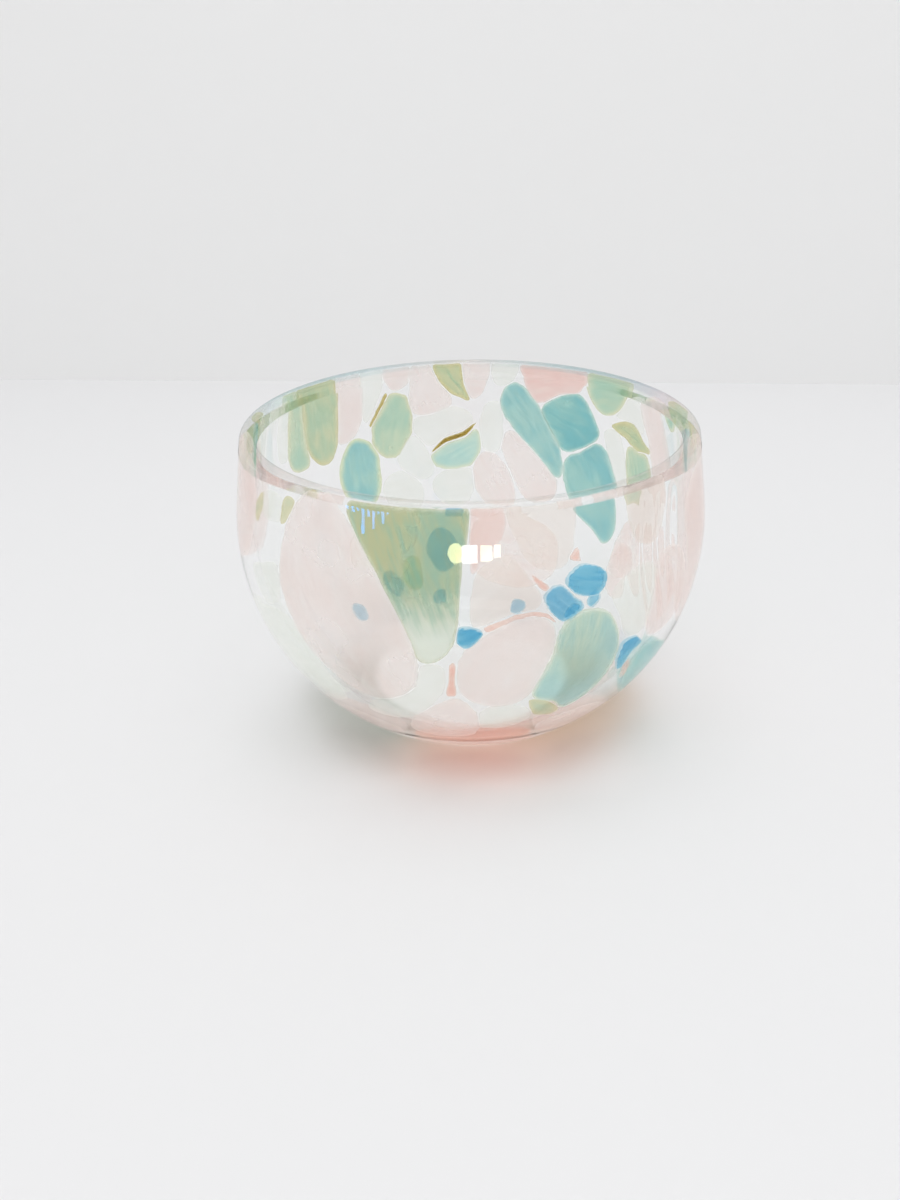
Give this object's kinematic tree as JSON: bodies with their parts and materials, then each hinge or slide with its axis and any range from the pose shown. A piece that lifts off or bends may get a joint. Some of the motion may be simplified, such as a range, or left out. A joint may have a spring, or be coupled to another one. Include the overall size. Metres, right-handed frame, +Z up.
{
  "type": "glass bowl",
  "caption": "Round blown-glass bowl with a rounded lip and a flat base, clear wall with coloured opaline glass chips melted flush into its outside.",
  "frame": {"origin": "centre of the flat base, which is the lowest face", "axes": "+Z up along the bowl's axis, -Y the side that the picture is taken from, +X to the right of that side"},
  "size_m": [0.12, 0.12, 0.0785],
  "materials": {
    "clear_glass": "clear, fire polished",
    "pink_glass": "pale pink opaline, fire polished",
    "rose_glass": "warm rose opaline, fire polished",
    "salmon_glass": "salmon translucent, fire polished",
    "beige_glass": "pinkish beige opaline, fire polished",
    "pale_glass": "milky white opaline, fire polished",
    "sage_glass": "soft grey-green translucent, fire polished",
    "olive_glass": "olive green translucent, fire polished",
    "amber_glass": "brown amber transparent, fire polished",
    "teal_glass": "blue-green translucent, fire polished",
    "aqua_glass": "pale aqua translucent, fire polished",
    "blue_glass": "turquoise blue transparent, fire polished"
  },
  "bodies": {
    "root": {"clear_bowl": "clear_glass", "pink_left_edge": "pink_glass", "pale_left_pair": "pale_glass", "pale_left_lower": "pale_glass", "pink_front_left": "pink_glass", "olive_front_wedge": "olive_glass", "rose_front_rim": "rose_glass", "beige_front_rim": "beige_glass", "beige_front_middle": "beige_glass", "blue_front_upper": "blue_glass", "blue_front_middle": "blue_glass", "blue_front_small": "blue_glass", "pink_front_lower": "pink_glass", "teal_front_crescent": "teal_glass", "beige_front_right": "beige_glass", "pink_front_right_small": "pink_glass", "pale_front_right": "pale_glass", "pink_front_right": "pink_glass", "pink_right_edge": "pink_glass", "blue_right_sliver": "blue_glass", "teal_right_lower": "teal_glass", "pale_front_lower": "pale_glass", "pink_front_foot": "pink_glass", "pale_foot_pair": "pale_glass", "salmon_base_front": "salmon_glass", "pink_base_pair": "pink_glass", "sage_right_rim": "sage_glass", "pink_back_right": "pink_glass", "pale_back_right": "pale_glass", "olive_back_right": "olive_glass", "sage_back_right": "sage_glass", "pale_back_iridescent": "pale_glass", "sage_back_rim": "sage_glass", "teal_back_upper": "teal_glass", "teal_back_lower": "teal_glass", "rose_back_rim": "rose_glass", "teal_back_capsule": "teal_glass", "pale_back_rim_pair": "pale_glass", "pale_back_strip": "pale_glass", "pink_back_middle": "pink_glass", "pink_back_drop": "pink_glass", "pink_back_rim_pair": "pink_glass", "olive_back_rim": "olive_glass", "pink_back_rim_middle": "pink_glass", "pale_back_upper": "pale_glass", "aqua_back_half_moon": "aqua_glass", "pale_back_middle": "pale_glass", "pale_back_low_pair": "pale_glass", "sage_back_pentagon": "sage_glass", "teal_back_left": "teal_glass", "pink_back_left_strip": "pink_glass", "olive_back_left": "olive_glass", "sage_back_left_strip": "sage_glass", "pale_left_strip": "pale_glass", "pink_back_low_pair": "pink_glass", "aqua_back_low_left": "aqua_glass", "olive_slivers": "olive_glass", "salmon_slivers": "salmon_glass", "amber_threads": "amber_glass", "blue_back_spots": "blue_glass"}
  },
  "joints": []
}
